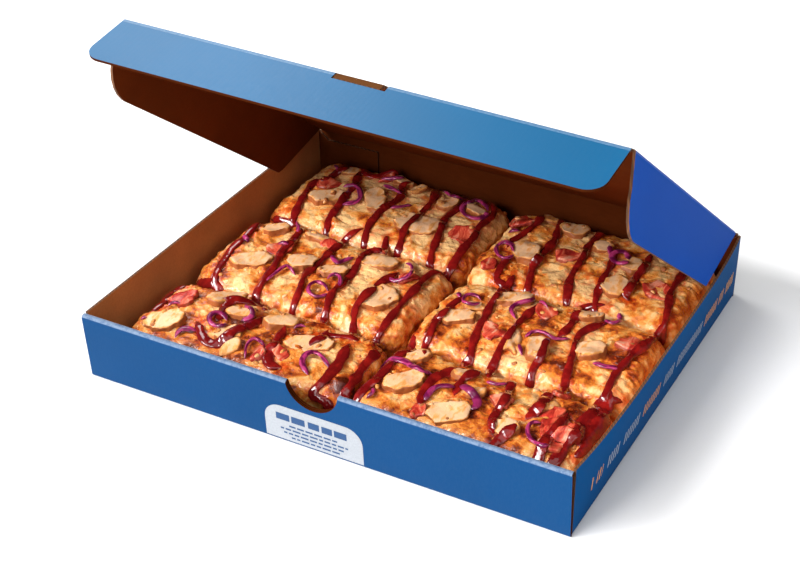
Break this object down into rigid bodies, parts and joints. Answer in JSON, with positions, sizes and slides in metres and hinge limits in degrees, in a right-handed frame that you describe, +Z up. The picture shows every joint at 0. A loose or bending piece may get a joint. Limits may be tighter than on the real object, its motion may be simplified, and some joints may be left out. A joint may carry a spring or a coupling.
{
  "type": "boxed sheet pizza",
  "caption": "Rectangular sheet pizza cut into slices with chicken, bacon and onion, in its folding card takeaway box with a raised hinged lid and tucked flaps.",
  "frame": {"origin": "middle of the underside of the box", "axes": "+X to the right seen from the front, -Y out of the front wall with the thumb notch, +Z up; the lid is hinged on the +Y side"},
  "size_m": [0.3245, 0.272, 0.2078],
  "materials": {
    "printed_card": "satin",
    "baked_dough": "satin",
    "roast_meat": "satin",
    "cured_meat": "satin"
  },
  "bodies": {
    "tray": {"bacon_01": "cured_meat", "bacon_02": "cured_meat", "bacon_03": "cured_meat", "bacon_04": "cured_meat", "bacon_05": "cured_meat", "bacon_06": "cured_meat", "bacon_07": "cured_meat", "bacon_08": "cured_meat", "bacon_09": "cured_meat", "bacon_10": "cured_meat", "bacon_11": "cured_meat", "bacon_12": "cured_meat", "bacon_13": "cured_meat", "chicken_01": "roast_meat", "chicken_02": "roast_meat", "chicken_03": "roast_meat", "chicken_04": "roast_meat", "chicken_05": "roast_meat", "chicken_06": "roast_meat", "chicken_07": "roast_meat", "chicken_08": "roast_meat", "chicken_09": "roast_meat", "chicken_10": "roast_meat", "chicken_11": "roast_meat", "chicken_12": "roast_meat", "chicken_13": "roast_meat", "chicken_14": "roast_meat", "chicken_15": "roast_meat", "chicken_16": "roast_meat", "chicken_17": "roast_meat", "chicken_18": "roast_meat", "chicken_19": "roast_meat", "chicken_20": "roast_meat", "chicken_21": "roast_meat", "chicken_22": "roast_meat", "chicken_23": "roast_meat", "chicken_24": "roast_meat", "chicken_25": "roast_meat", "chicken_26": "roast_meat", "chicken_27": "roast_meat", "chicken_28": "roast_meat", "chicken_29": "roast_meat", "chicken_30": "roast_meat", "chicken_31": "roast_meat", "chicken_32": "roast_meat", "chicken_33": "roast_meat", "chicken_34": "roast_meat", "chicken_35": "roast_meat", "slice_back_left": "baked_dough", "slice_back_right": "baked_dough", "slice_front_left": "baked_dough", "slice_front_right": "baked_dough", "slice_middle_left": "baked_dough", "slice_middle_right": "baked_dough", "tray": "printed_card"},
    "spine": {"spine": "printed_card"},
    "lid": {"lid_panel": "printed_card"},
    "front_flap": {"front_flap": "printed_card"},
    "side_flap_left": {"side_flap_left": "printed_card"},
    "side_flap_right": {"side_flap_right": "printed_card"}
  },
  "joints": [
    {"name": "lid_opening", "type": "hinge", "parent": "tray", "child": "spine", "pos_m": [0, 0.135, 0.04], "axis": [-1, 0, 0], "range_deg": [0, 148]},
    {"name": "lid_closing", "type": "hinge", "parent": "spine", "child": "lid", "pos_m": [0, 0.135, 0.046], "axis": [-1, 0, 0], "range_deg": [-38, 0]},
    {"name": "front_flap_fold", "type": "hinge", "parent": "lid", "child": "front_flap", "pos_m": [0, -0.07185, 0.20761], "axis": [1, 0, 0], "range_deg": [0, 54]},
    {"name": "side_flap_right_fold", "type": "hinge", "parent": "lid", "child": "side_flap_right", "pos_m": [0.1578, 0.135, 0.046], "axis": [0, -0.788, 0.6157], "range_deg": [-6, 0]},
    {"name": "side_flap_left_fold", "type": "hinge", "parent": "lid", "child": "side_flap_left", "pos_m": [-0.1578, 0.135, 0.046], "axis": [0, 0.788, -0.6157], "range_deg": [0, 14.8]}
  ],
  "couplings": [
    {"joint": "front_flap_fold", "follows": "lid_closing", "ratio": -1.42},
    {"joint": "side_flap_right_fold", "follows": "lid_closing", "ratio": 0.157},
    {"joint": "side_flap_left_fold", "follows": "lid_opening", "ratio": 0.1}
  ]
}
